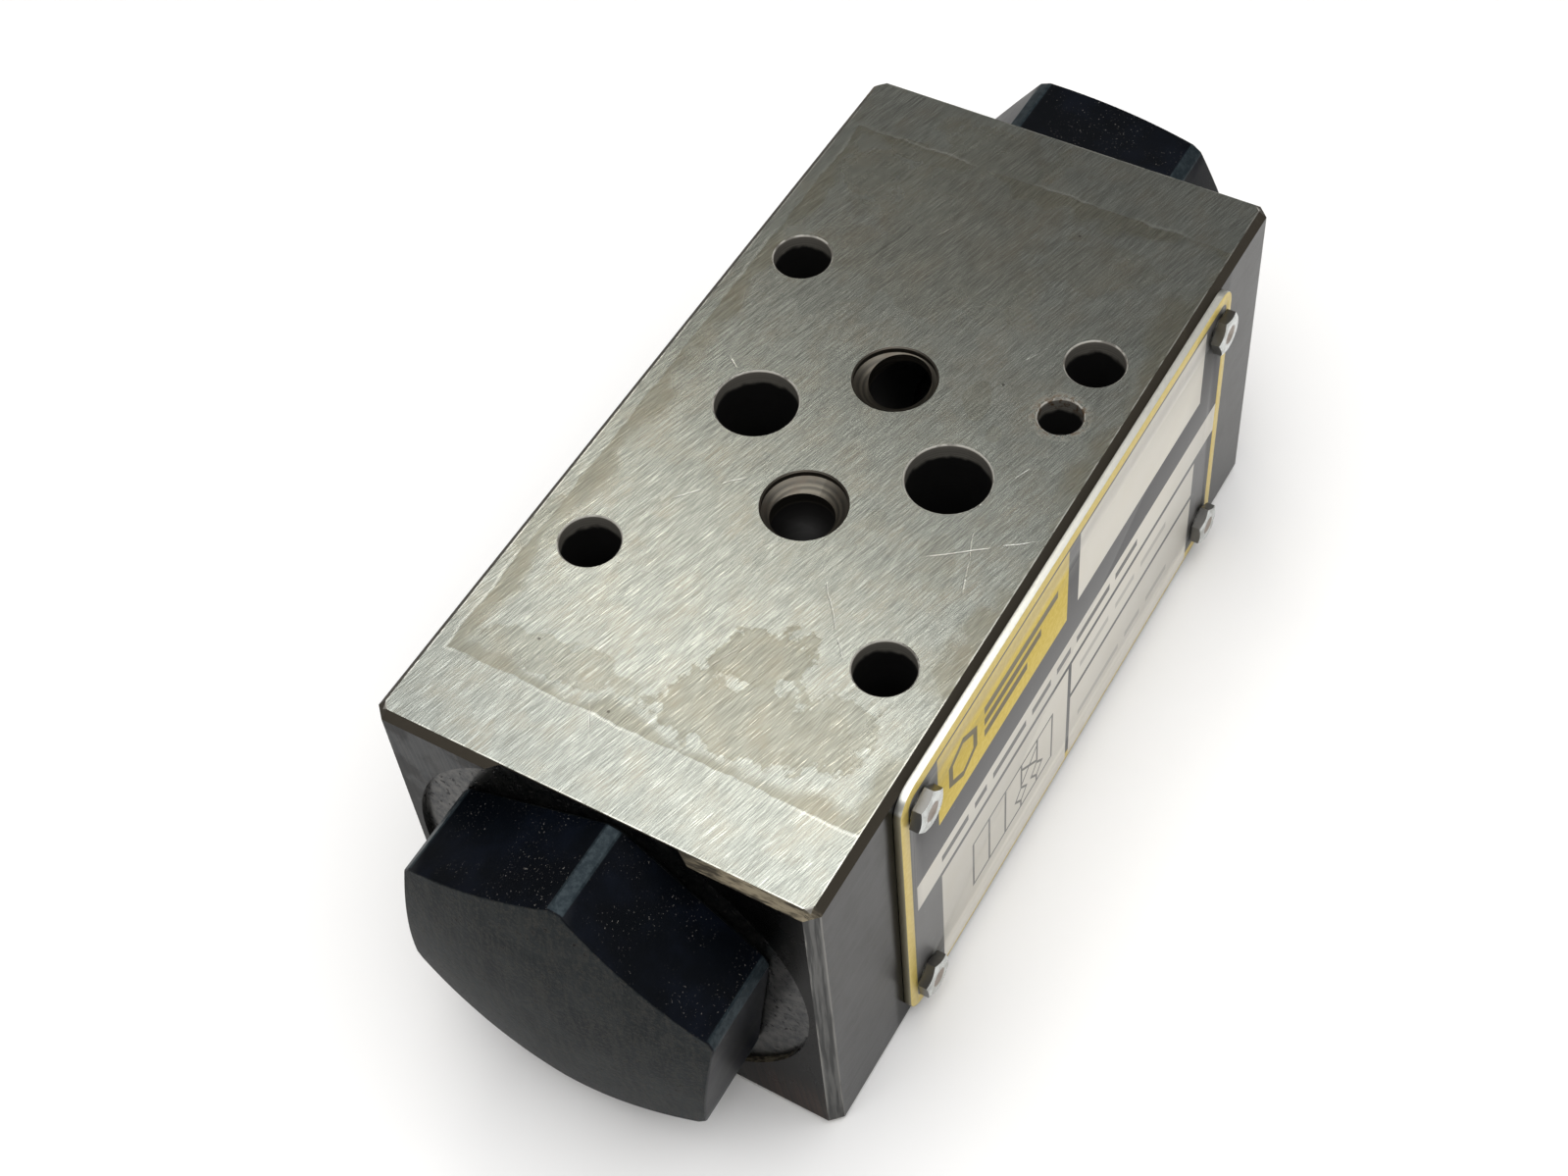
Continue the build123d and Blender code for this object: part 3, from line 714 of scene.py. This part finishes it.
plate = {
    "cornerRadius": 2.6,
    "edgeBevel": 0.12,
    "holeDiameter": 2.4,
    "rimWidth": 1.35,
    "gold": tone(0.60, 0.455, 0.105),
    "paleGold": tone(0.70, 0.56, 0.17),
    "grey": tone(0.131, 0.130, 0.131),
    "paleGrey": tone(0.145, 0.145, 0.145),
    "white": tone(0.64, 0.615, 0.555),
    "soiledWhite": tone(0.62, 0.58, 0.49),
    "ink": tone(0.055, 0.055, 0.06),
    "markTone": tone(0.10, 0.10, 0.105),
    "faintTone": tone(0.34, 0.33, 0.31),
    "lineTone": tone(0.12, 0.12, 0.12),
    "bareTone": tone(0.66, 0.665, 0.62),
    "shadedEdgeTone": tone(0.22, 0.185, 0.095),
    # panels and bars: left, right, low, high, from the plate's middle
    "goldPanel": (-27.7, -2.05, 6.75, 17.4),
    "whitePanels": [
        (0.3, 28.25, 7.1, 17.4),         # blank box, upper right
        (-32.1, 32.9, -1.8, 2.4),        # strip from rim to rim
        (-27.5, -1.1, -18.6, -2.5),      # panel with the flow symbol
        (-0.4, 28.4, -7.75, -2.5),       # two blank rows
        (-0.4, 28.4, -18.6, -8.4),
    ],
    "badge": (-23.0, 11.6),              # a plain hexagon ring
    "badgeReach": 2.3,
    "bars": [(-18.9, -4.2, 12.9, 14.0), (-18.9, -7.6, 11.1, 12.2), (-18.9, -10.4, 9.3, 10.4)],
    # rows of plain dashes: start, low, height, gap, widths
    "darkDashes": [(-27.4, -0.15, 1.0, 1.3, (5.2, 2.4, 6.8, 4.0, 3.0, 7.4, 5.0))],
    "faintDashes": [
        (1.6, -5.6, 0.9, 1.6, (6.5, 4.4, 6.0)),
        (1.6, -14.2, 0.9, 1.6, (9.5, 3.6, 5.0)),
    ],
    # the flow symbol: its frame, two straight lines and two check valves with crossed pilot lines
    "symbolEnds": (-21.3, -4.5),
    "symbolBottom": -13.7,
    "symbolTop": -6.0,
    "straightLines": (-18.0, -14.6),
    "valveLines": (-11.2, -7.8),
    "valveBottom": -12.6,
    "valveTop": -9.9,
    "valveMiddle": -11.3,
    "valveReaches": (1.0, 0.68),         # outside and inside of a valve's square
    "crossing": (-9.5, -8.4),
    "crossingReach": 2.1,
    "crossingTurn": 40,
    "halfLine": 0.17,
}
plateMiddle = (plateLow + plateHigh) / 2
screws = {
    "edgeX": 3.15,
    "edgeZ": 4.0,
    "acrossFlats": 4.0,
    "headHeight": 1.2,
    "bevelHeight": 0.25,
    "collarDiameter": 3.4,
    "collarHeight": 0.2,
    "dimpleDiameter": 2.1,
    "dimpleDepth": 0.35,
    "shankDiameter": 2.2,
    "shankLength": 5.4,
    "turns": {"a_top": 14.0, "a_bottom": 38.0, "b_top": 52.0, "b_bottom": 27.0},
    "brightTone": tone(0.60, 0.62, 0.61),
    "dullTone": tone(0.40, 0.41, 0.395),
    "shadedFlankTone": tone(0.16, 0.158, 0.150),
    "dimpleTone": tone(0.30, 0.25, 0.215),
}


def screwPlaces():
    reachX = (plateHigh.x - plateLow.x) / 2 - screws["edgeX"]
    reachZ = (plateHigh.z - plateLow.z) / 2 - screws["edgeZ"]
    places = {}
    for column, across in (("a", -1), ("b", 1)):
        for row, up in (("top", 1), ("bottom", -1)):
            places[f"{column}_{row}"] = (plateMiddle.x + across * reachX, plateMiddle.z + up * reachZ)
    return places


def nameplate(material):
    shape = plate
    size = plateHigh - plateLow
    bm = bmesh.new()
    bmesh.ops.create_cube(bm, size=1.0)
    bmesh.ops.scale(bm, vec=size, verts=bm.verts)
    uprights = [e for e in bm.edges if abs(e.verts[0].co.y - e.verts[1].co.y) > size.y / 2]
    bmesh.ops.bevel(bm, geom=uprights, offset=shape["cornerRadius"], offset_type="OFFSET",
                    affect="EDGES", segments=10, profile=0.5, material=-1)
    rims = [e for e in bm.edges if abs(e.verts[0].co.y - e.verts[1].co.y) < 1e-5]
    bmesh.ops.bevel(bm, geom=rims, offset=shape["edgeBevel"], offset_type="OFFSET",
                    affect="EDGES", segments=2, profile=0.5, material=-1)
    bmesh.ops.recalc_face_normals(bm, faces=bm.faces)
    piece = asPiece("nameplate_finished", bm, Matrix.Translation(plateMiddle), material)

    drills = bmesh.new()
    for x, z in screwPlaces().values():
        turned = Matrix.Translation((x, plateMiddle.y, z)) @ Matrix.Rotation(math.radians(90), 4, "X")
        radius = shape["holeDiameter"] / 2
        bmesh.ops.create_cone(drills, cap_ends=True, segments=32, radius1=radius, radius2=radius,
                              depth=3 * size.y, matrix=turned)
    cutter = asPiece("nameplate_drills", drills, Matrix.Identity(4), material)
    cut = piece.modifiers.new("holes", "BOOLEAN")
    cut.operation = "DIFFERENCE"
    cut.solver = "EXACT"
    cut.object = cutter
    bpy.context.view_layer.update()
    evaluated = piece.evaluated_get(bpy.context.evaluated_depsgraph_get())
    mesh = bpy.data.meshes.new_from_object(evaluated)
    piece.modifiers.clear()
    piece.data = mesh
    bpy.data.objects.remove(cutter)
    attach(piece, "valve_body")
    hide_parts("nameplate")
    return piece


def plateFinish():
    finish = Finish("printed and anodised plate")
    look = plate
    place = finish.place
    across = finish.x - plateMiddle.x
    up = finish.z - plateMiddle.z
    halfX, halfZ = (plateHigh.x - plateLow.x) / 2, (plateHigh.z - plateLow.z) / 2
    edge = 0.04                          # how soft the print's edges are

    def box(left, right, low, high, turn=0.0, soft=edge):
        # 1 inside a rectangle, which may be turned about its middle
        middleX, middleZ = (left + right) / 2, (low + high) / 2
        c, s = math.cos(math.radians(turn)), math.sin(math.radians(turn))
        u = (across - middleX) * c + (up - middleZ) * s
        v = (up - middleZ) * c - (across - middleX) * s
        out = (abs(u) - (right - left) / 2).atLeast(abs(v) - (high - low) / 2)
        return out.fade(soft, -soft)

    def dashes(rows):
        masks = []
        for start, low, height, gap, widths in rows:
            for width in widths:
                masks.append(box(start, start + width, low, low + height))
                start += width + gap
        return union(masks)

    brushed = finish.noise(finish.strokes(9.0, 0.10, 0, "y"), 1.0, 2.0, 0.6)
    grime = finish.noise(place, 6.0, 4.0, 0.6)
    fleck = finish.noise(place, 0.5, 3.0, 0.6)

    # how far in from the outline; only near a corner does its rounding count
    corner = look["cornerRadius"]
    cornerX = (abs(across) - (halfX - corner)).atLeast(0.0)
    cornerZ = (abs(up) - (halfZ - corner)).atLeast(0.0)
    fromEdge = corner - finish.radius(cornerX, cornerZ)
    straight = (halfX - abs(across)).atMost(halfZ - abs(up))
    offCorner = fromEdge.fade(corner - 0.01, corner) * 50
    inward = straight.atMost(fromEdge.atLeast(0.0) + offCorner)

    grey = finish.blend(grime.fade(0.35, 0.7) * 0.3, look["grey"], look["paleGrey"])
    gold = finish.blend(fleck.fade(0.4, 0.65) * 0.5, look["gold"], look["paleGold"])
    goldLayer = layer(gold, 0.34 + 0.1 * grime, 0.2, brushed * 0.004)
    white = finish.blend(grime.fade(0.4, 0.75) * 0.3, look["white"], look["soiledWhite"])
    whiteLayer = layer(white, 0.42 + 0.1 * grime, 0.0, fleck * 0.004)

    rim = look["rimWidth"]
    result = layer(grey, 0.40 + 0.1 * grime, 0.1, fleck * 0.004)
    result = cover(finish, result, layer(look["ink"], 0.5, 0.0), inward.near(rim + 0.12, 0.18) * 0.55)
    result = cover(finish, result, goldLayer, inward.fade(rim + edge, rim - edge))
    result = cover(finish, result, goldLayer, box(*look["goldPanel"]))
    result = cover(finish, result, whiteLayer, union([box(*panel) for panel in look["whitePanels"]]))

    # the badge with its bars, and the dashes where a plate carries its data
    badgeX, badgeZ = look["badge"]
    flats = []
    for turn in (0, 60, 120):
        c, s = math.cos(math.radians(turn)), math.sin(math.radians(turn))
        flats.append(abs((across - badgeX) * c + (up - badgeZ) * s))
    badge = union(flats).near(look["badgeReach"], 0.55).fade(0.1, 0.35)
    marks = union([badge] + [box(*bar) for bar in look["bars"]]).atLeast(dashes(look["darkDashes"]))
    result = cover(finish, result, layer(look["markTone"], 0.5, 0.0), marks * 0.85)
    faint = dashes(look["faintDashes"])
    result = cover(finish, result, layer(look["faintTone"], 0.5, 0.0), faint * 0.6)

    # the flow symbol
    thin = look["halfLine"]
    left, right = look["symbolEnds"]
    bottom, top = look["symbolBottom"], look["symbolTop"]
    lines = [box(left - 0.1, right + 0.1, top - 0.25, top - 0.25 + 2 * thin)]
    lines.append(box(left - 0.1, right + 0.1, bottom, bottom + 2 * thin))
    for x in look["symbolEnds"] + look["straightLines"]:
        lines.append(box(x - thin, x + thin, bottom, top))
    for x in look["valveLines"]:
        lines.append(box(x - thin, x + thin, look["valveTop"], top))
        lines.append(box(x - thin, x + thin, bottom, look["valveBottom"]))
        valves = []
        for reach in look["valveReaches"]:
            low, high = look["valveMiddle"] - reach, look["valveMiddle"] + reach
            valves.append(box(x - reach, x + reach, low, high, 45, 0.06))
        lines.append(valves[0] - valves[1])
    crossX, crossZ = look["crossing"]
    reach = look["crossingReach"]
    for way in (-1, 1):
        turn = way * look["crossingTurn"]
        lines.append(box(crossX - reach, crossX + reach, crossZ - thin, crossZ + thin, turn))
    result = cover(finish, result, layer(look["lineTone"], 0.5, 0.0), union(lines) * 0.85)

    # wear on the print, and the sheared bare edges, those that do not face up darkened as painted shade
    scuffs = finish.noise(place, 1.1, 4.0, 0.7).fade(0.66, 0.74)
    bare = layer(look["bareTone"], 0.30 + 0.15 * fleck, 0.9, fleck * 0.02)
    result = cover(finish, result, bare, scuffs * 0.25)
    onEdge = finish.facingY.fade(-0.75, -0.45)
    result = cover(finish, result, bare, onEdge)
    # painted shade: the edges that do not face up are darker
    shadedEdges = layer(look["shadedEdgeTone"], 0.4, 0.8, fleck * 0.01)
    result = cover(finish, result, shadedEdges, onEdge * finish.facingZ.fade(0.45, 0.25) * 0.85)
    return finish.surface(result)


def nameplateScrew(name, x, z, material):
    shape = screws
    cornerAngle = math.radians(shape["turns"][name])
    corner = shape["acrossFlats"] / math.sqrt(3)
    collar = shape["collarHeight"]
    top = collar + shape["headHeight"]
    bevel = shape["bevelHeight"]
    dimple = shape["dimpleDiameter"] / 2
    smallest = corner - 2 * bevel

    def outline(angle):
        return hexagonRadius(angle, cornerAngle, shape["acrossFlats"])

    def cone(inset, lift):
        # where the turned bevel cuts the hexagon
        return lambda angle: (outline(angle) - inset, top - (outline(angle) - smallest) / 2 + lift)

    def wall(inset, height):
        return lambda angle: (outline(angle) - inset, height)

    floor = top - shape["dimpleDepth"]
    levels = [ring(0.2, floor), ring(dimple - 0.55, floor + 0.02), ring(dimple - 0.3, floor + 0.1)]
    levels += [ring(dimple - 0.06, top - 0.07), ring(dimple + 0.03, top - 0.01), ring(dimple + 0.1, top)]
    levels += [ring(smallest - 0.06, top), ring(smallest + 0.01, top - 0.02), cone(0.06, 0.018)]
    levels += [cone(0.0, 0.0), cone(0.0, -0.06), wall(0.0, collar + 0.05), wall(0.05, collar)]
    levels += [ring(shape["collarDiameter"] / 2, collar), ring(shape["collarDiameter"] / 2, 0.0)]
    shank = shape["shankDiameter"] / 2
    levels += [ring(shank + 0.1, 0.0), ring(shank, -0.1), ring(shank, 0.3 - shape["shankLength"])]
    levels += [ring(shank - 0.3, -shape["shankLength"]), ring(0.2, -shape["shankLength"])]
    bm = latheMesh(hexagonAngles(cornerAngle, math.radians(2.0), 2, 6), levels)
    place = Matrix.Translation((x, plateLow.y, z)) @ Matrix.Rotation(math.radians(90), 4, "X")
    piece = asPiece(f"nameplate_screw_{name}_finished", bm, place, material)
    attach(piece, "valve_body")
    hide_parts(f"nameplate_screw_{name}")
    return piece


def screwFinish():
    finish = Finish("bright zinc")
    place = finish.place
    cloud = finish.noise(place, 0.9, 3.0, 0.6)
    grit = finish.noise(place, 0.22, 3.0, 0.7)
    tint = finish.blend(cloud.fade(0.35, 0.7), screws["brightTone"], screws["dullTone"])
    metal = layer(tint, 0.16 + 0.22 * cloud, 1.0, grit * 0.010)
    apart = [finish.radius(finish.x - x, finish.z - z) for x, z in screwPlaces().values()]
    dimple = screws["dimpleDiameter"] / 2
    inDimple = reduce(Wire.atMost, apart).fade(dimple + 0.02, dimple - 0.08)
    dull = layer(screws["dimpleTone"], 0.45, 0.8, grit * 0.03)
    # painted shade: the sides of each head darker than its top
    flank = layer(screws["shadedFlankTone"], 0.22 + 0.2 * cloud, 1.0, grit * 0.010)
    result = cover(finish, metal, flank, abs(finish.facingY).fade(0.55, 0.25))
    result = cover(finish, result, dull, inDimple * 0.85)
    return finish.surface(result)


# the inside parts and the seals

insideParts = {
    # turned steels: name, light tone, dark tone, roughness, size and depth of the rings
    "cage": ("turned steel", tone(0.58, 0.58, 0.57), tone(0.40, 0.40, 0.40), 0.30, 0.30, 0.006),
    "hard": ("hardened and ground steel", tone(0.62, 0.62, 0.63), tone(0.50, 0.50, 0.51), 0.16, 0.12, 0.002),
    # the others: main tone and the tone of their blotches
    "wire": (tone(0.30, 0.30, 0.31), tone(0.48, 0.475, 0.47)),
    "rubber": (tone(0.012, 0.012, 0.013), tone(0.030, 0.030, 0.031)),
    "plastic": (tone(0.80, 0.79, 0.75), tone(0.70, 0.68, 0.63)),
}


def turnedFinish(name, light, dark, roughness, ringSize, ringDepth):
    # steel turned round the main bore: rings of slightly different tone
    finish = Finish(name)
    rings = finish.noise(finish.add("CombineXYZ", {}, {0: finish.x}), ringSize, 3.0, 0.65)
    cloud = finish.noise(finish.place, 2.5, 3.0)
    tint = finish.blend(rings.fade(0.35, 0.65), dark, light)
    tint = finish.blend(cloud.fade(0.5, 0.75) * 0.25, tint, dark)
    return finish.surface(layer(tint, roughness + 0.1 * cloud - 0.05 * rings, 1.0, rings * ringDepth))


def springFinish():
    finish = Finish("drawn spring wire")
    grain = finish.noise(finish.place, 0.35, 3.0, 0.6)
    tint = finish.blend(grain.fade(0.4, 0.65), *insideParts["wire"])
    return finish.surface(layer(tint, 0.26 + 0.15 * grain, 1.0, grain * 0.006))


def rubberFinish():
    finish = Finish("black nitrile rubber")
    grain = finish.noise(finish.place, 0.3, 3.0, 0.6)
    bloom = finish.noise(finish.place, 3.0, 2.0)
    tint = finish.blend(bloom.fade(0.5, 0.75), *insideParts["rubber"])
    return finish.surface(layer(tint, 0.42 + 0.16 * bloom, 0.0, grain * 0.006))


def plasticFinish():
    finish = Finish("white backup ring plastic")
    grain = finish.noise(finish.place, 0.8, 3.0)
    tint = finish.blend(grain.fade(0.4, 0.7), *insideParts["plastic"])
    return finish.surface(layer(tint, 0.48 + 0.1 * grain, 0.0, grain * 0.005))


def dress(material, *prefixes):
    # gives a material to every CAD node whose name starts with one of the prefixes
    for node, piece in cadNodes.items():
        if node.startswith(prefixes):
            piece.data.materials.clear()
            piece.data.materials.append(material)


dress(bodyFinish(), "body")
print("block finished")
plugMaterial = plugFinish()
for sideName, sideSign in (("a", -1), ("b", 1)):
    endPlug(sideName, sideSign, plugMaterial)
print("end plugs made")
nameplate(plateFinish())
screwMaterial = screwFinish()
for screwName, (screwX, screwZ) in screwPlaces().items():
    nameplateScrew(screwName, screwX, screwZ, screwMaterial)
print("nameplate and screws made")
dress(turnedFinish(*insideParts["cage"]), "check_cage")
dress(turnedFinish(*insideParts["hard"]), "check_seat", "check_poppet", "pilot_piston")
dress(springFinish(), "check_spring")
dress(rubberFinish(), "plug_ring", "seat_ring", "port_seal")
for sideName in ("a", "b"):
    # each spring gets a mesh of its own; its outer end and how far its poppet travels are worked out and
    # passed along, but nothing makes it shorten
    spring, slide = f"check_spring_{sideName}", f"check_poppet_{sideName}_slide"
    low, high = boxOf(spring)
    travel = joints[slide]["range_m"][1] / mm
    outerEnd = (max(low.x, high.x, key=abs) * mm, 0, boreHeight * mm)
    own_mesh(cadNodes[spring], slide, (1, 0, 0), outerEnd, 1 - travel / (high.x - low.x))
dress(plasticFinish(), "seat_backup_ring")
print("inside parts and seals finished")


# the studio

studio = {
    "cameraPlace": (-121.8, -77.7, 208.0),
    "cameraRight": (0.504, -0.861, -0.071),
    "cameraBack": (-0.492, -0.353, 0.796),
    "lens": 53.84,
    "lights": {                          # size, place, turn about Z, power, colour; all face down
        "softbox": ((1.5, 1.5), (-0.22, -0.15, 1.0), 0, 17.5, (1.0, 1.0, 1.0)),
        "warm strip": ((0.6, 0.09), (0.51, 0.46, 0.96), 69, 0.85, (1.0, 0.92, 0.78)),
    },
    "skyLow": 0.07,
    "skyHigh": 0.31,
    "horizonGlow": 0.5,
    "horizonReach": 0.33,
    "skyTone": tone(1.0, 0.965, 0.915),
    "floorTone": tone(0.90, 0.90, 0.90),
    "floorSmudgeTone": tone(0.84, 0.82, 0.80),
    "floorReach": 5.0,                   # metres, from the middle to each side
}


def softLight(name, size, place, turn, power, colour):
    light = bpy.data.lights.new(name, "AREA")
    light.shape = "RECTANGLE"
    light.size, light.size_y = size
    light.energy = power
    light.color = colour
    lamp = bpy.data.objects.new(name, light)
    lamp.location = place
    lamp.rotation_euler = (0, 0, math.radians(turn))
    scene.collection.objects.link(lamp)


def makeFloor():
    bm = bmesh.new()
    bmesh.ops.create_grid(bm, x_segments=1, y_segments=1, size=studio["floorReach"])
    mesh = bpy.data.meshes.new("floor")
    bm.to_mesh(mesh)
    bm.free()
    finish = Finish("white card")
    smudge = finish.noise(finish.place, 60.0, 4.0, 0.6)
    tint = finish.blend(smudge.fade(0.62, 0.8) * 0.25, studio["floorTone"], studio["floorSmudgeTone"])
    mesh.materials.append(finish.surface(layer(tint, 0.7, 0.0)))
    floor = bpy.data.objects.new("floor", mesh)
    floor.location = (0, 0, -0.02 * mm)
    scene.collection.objects.link(floor)


def makeSky():
    # brightest straight up and dim lower down, but for a soft glow along the horizon
    sky = NodeTree(bpy.data.worlds.new("studio"))
    rise = sky.add("TexCoord", {}, {}, "Generated").split()[2]
    glow = rise.fade(studio["horizonReach"], 0.0) * studio["horizonGlow"]
    limits = {3: studio["skyLow"], 4: studio["skyHigh"]}
    strength = sky.add("MapRange", {}, {0: rise, **limits}) + glow
    shader = sky.add("Background", {}, {"Color": studio["skyTone"], "Strength": strength})
    sky.add("OutputWorld", {}, {"Surface": shader})
    scene.world = sky.owner


def makeCamera():
    data = bpy.data.cameras.new("camera")
    data.lens = studio["lens"]
    data.clip_start, data.clip_end = 0.01, 10.0
    camera = bpy.data.objects.new("camera", data)
    right, back = Vector(studio["cameraRight"]).normalized(), Vector(studio["cameraBack"]).normalized()
    up = back.cross(right).normalized()
    turn = Matrix((up.cross(back), up, back)).transposed().to_4x4()
    camera.matrix_world = Matrix.Translation(Vector(studio["cameraPlace"]) * mm) @ turn
    scene.collection.objects.link(camera)
    scene.camera = camera


makeFloor()
for lightName, lightSetting in studio["lights"].items():
    softLight(lightName, *lightSetting)
makeSky()
makeCamera()
scene.view_settings.view_transform = "Standard"
print("studio made")
